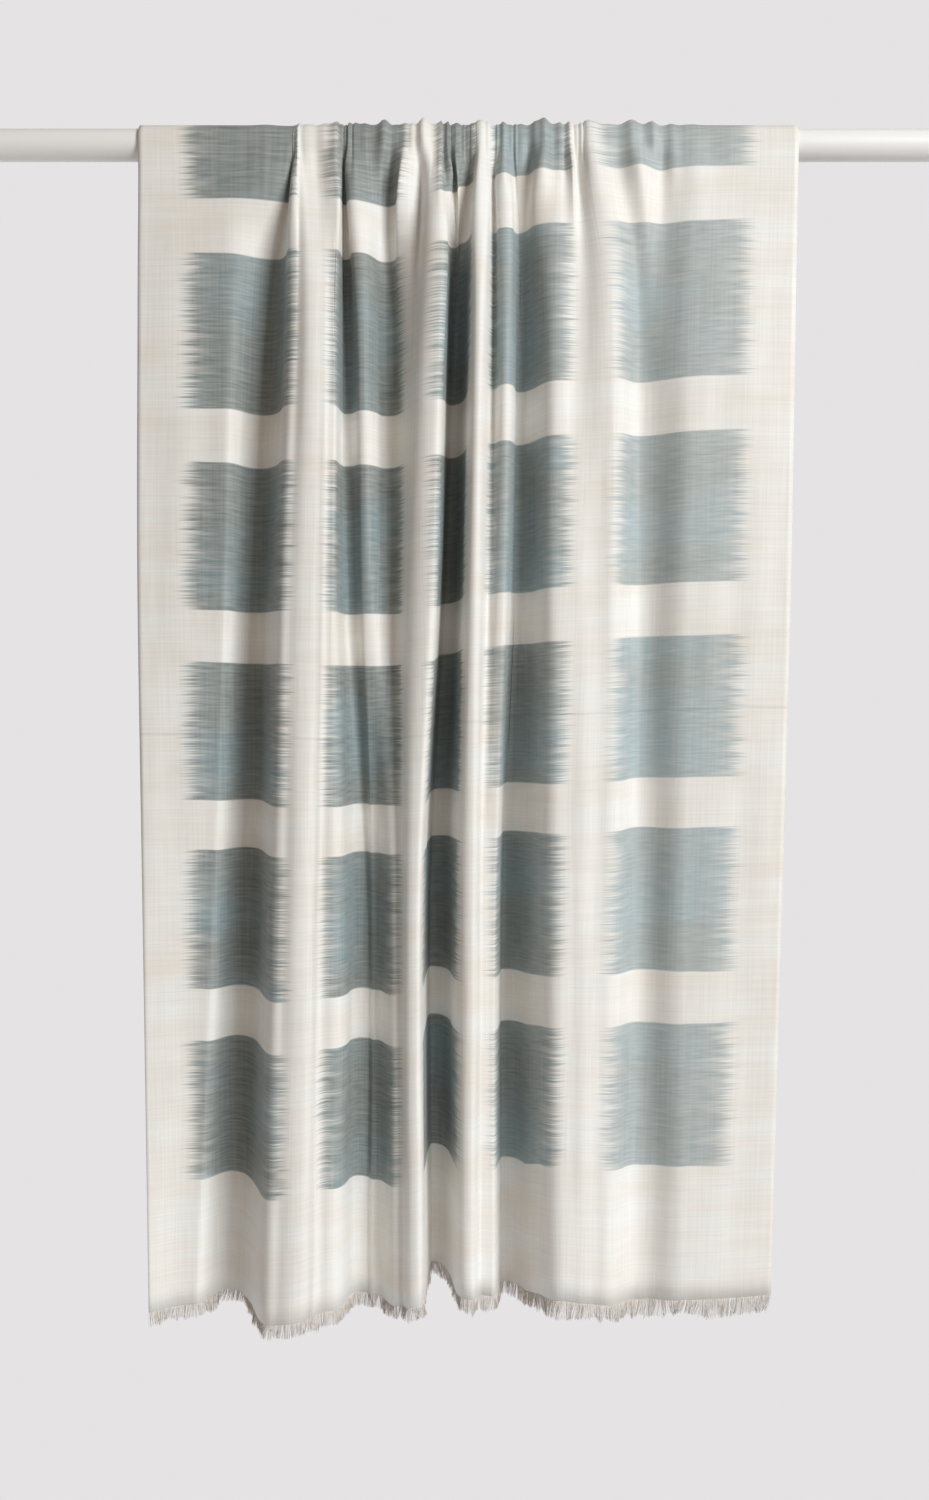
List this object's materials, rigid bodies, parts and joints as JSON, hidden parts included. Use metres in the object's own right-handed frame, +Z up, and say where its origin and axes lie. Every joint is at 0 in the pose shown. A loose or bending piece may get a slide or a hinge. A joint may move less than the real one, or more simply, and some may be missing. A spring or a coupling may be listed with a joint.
{
  "type": "pashmina shawl on a rod",
  "caption": "Ivory pashmina shawl with rows of slate-blue ikat squares and short fringed ends, draped in soft folds over a plain white round rod.",
  "frame": {"origin": "on the rod's axis, midway between its ends, where the rod is held", "axes": "+X along the rod, to the right as seen from the front; -Y is the front; +Z is up"},
  "size_m": [0.8, 0.1462, 1.0241],
  "materials": {
    "white_rod": "smooth white paint",
    "pashmina": "fine plain weave with a soft sheen",
    "fringe_yarn": "loose fine yarn"
  },
  "bodies": {
    "root": {"rod": "white_rod", "cloth_front": "pashmina", "cloth_over_rod": "pashmina", "cloth_back": "pashmina", "fringe_front": "fringe_yarn", "fringe_back": "fringe_yarn"}
  },
  "joints": []
}
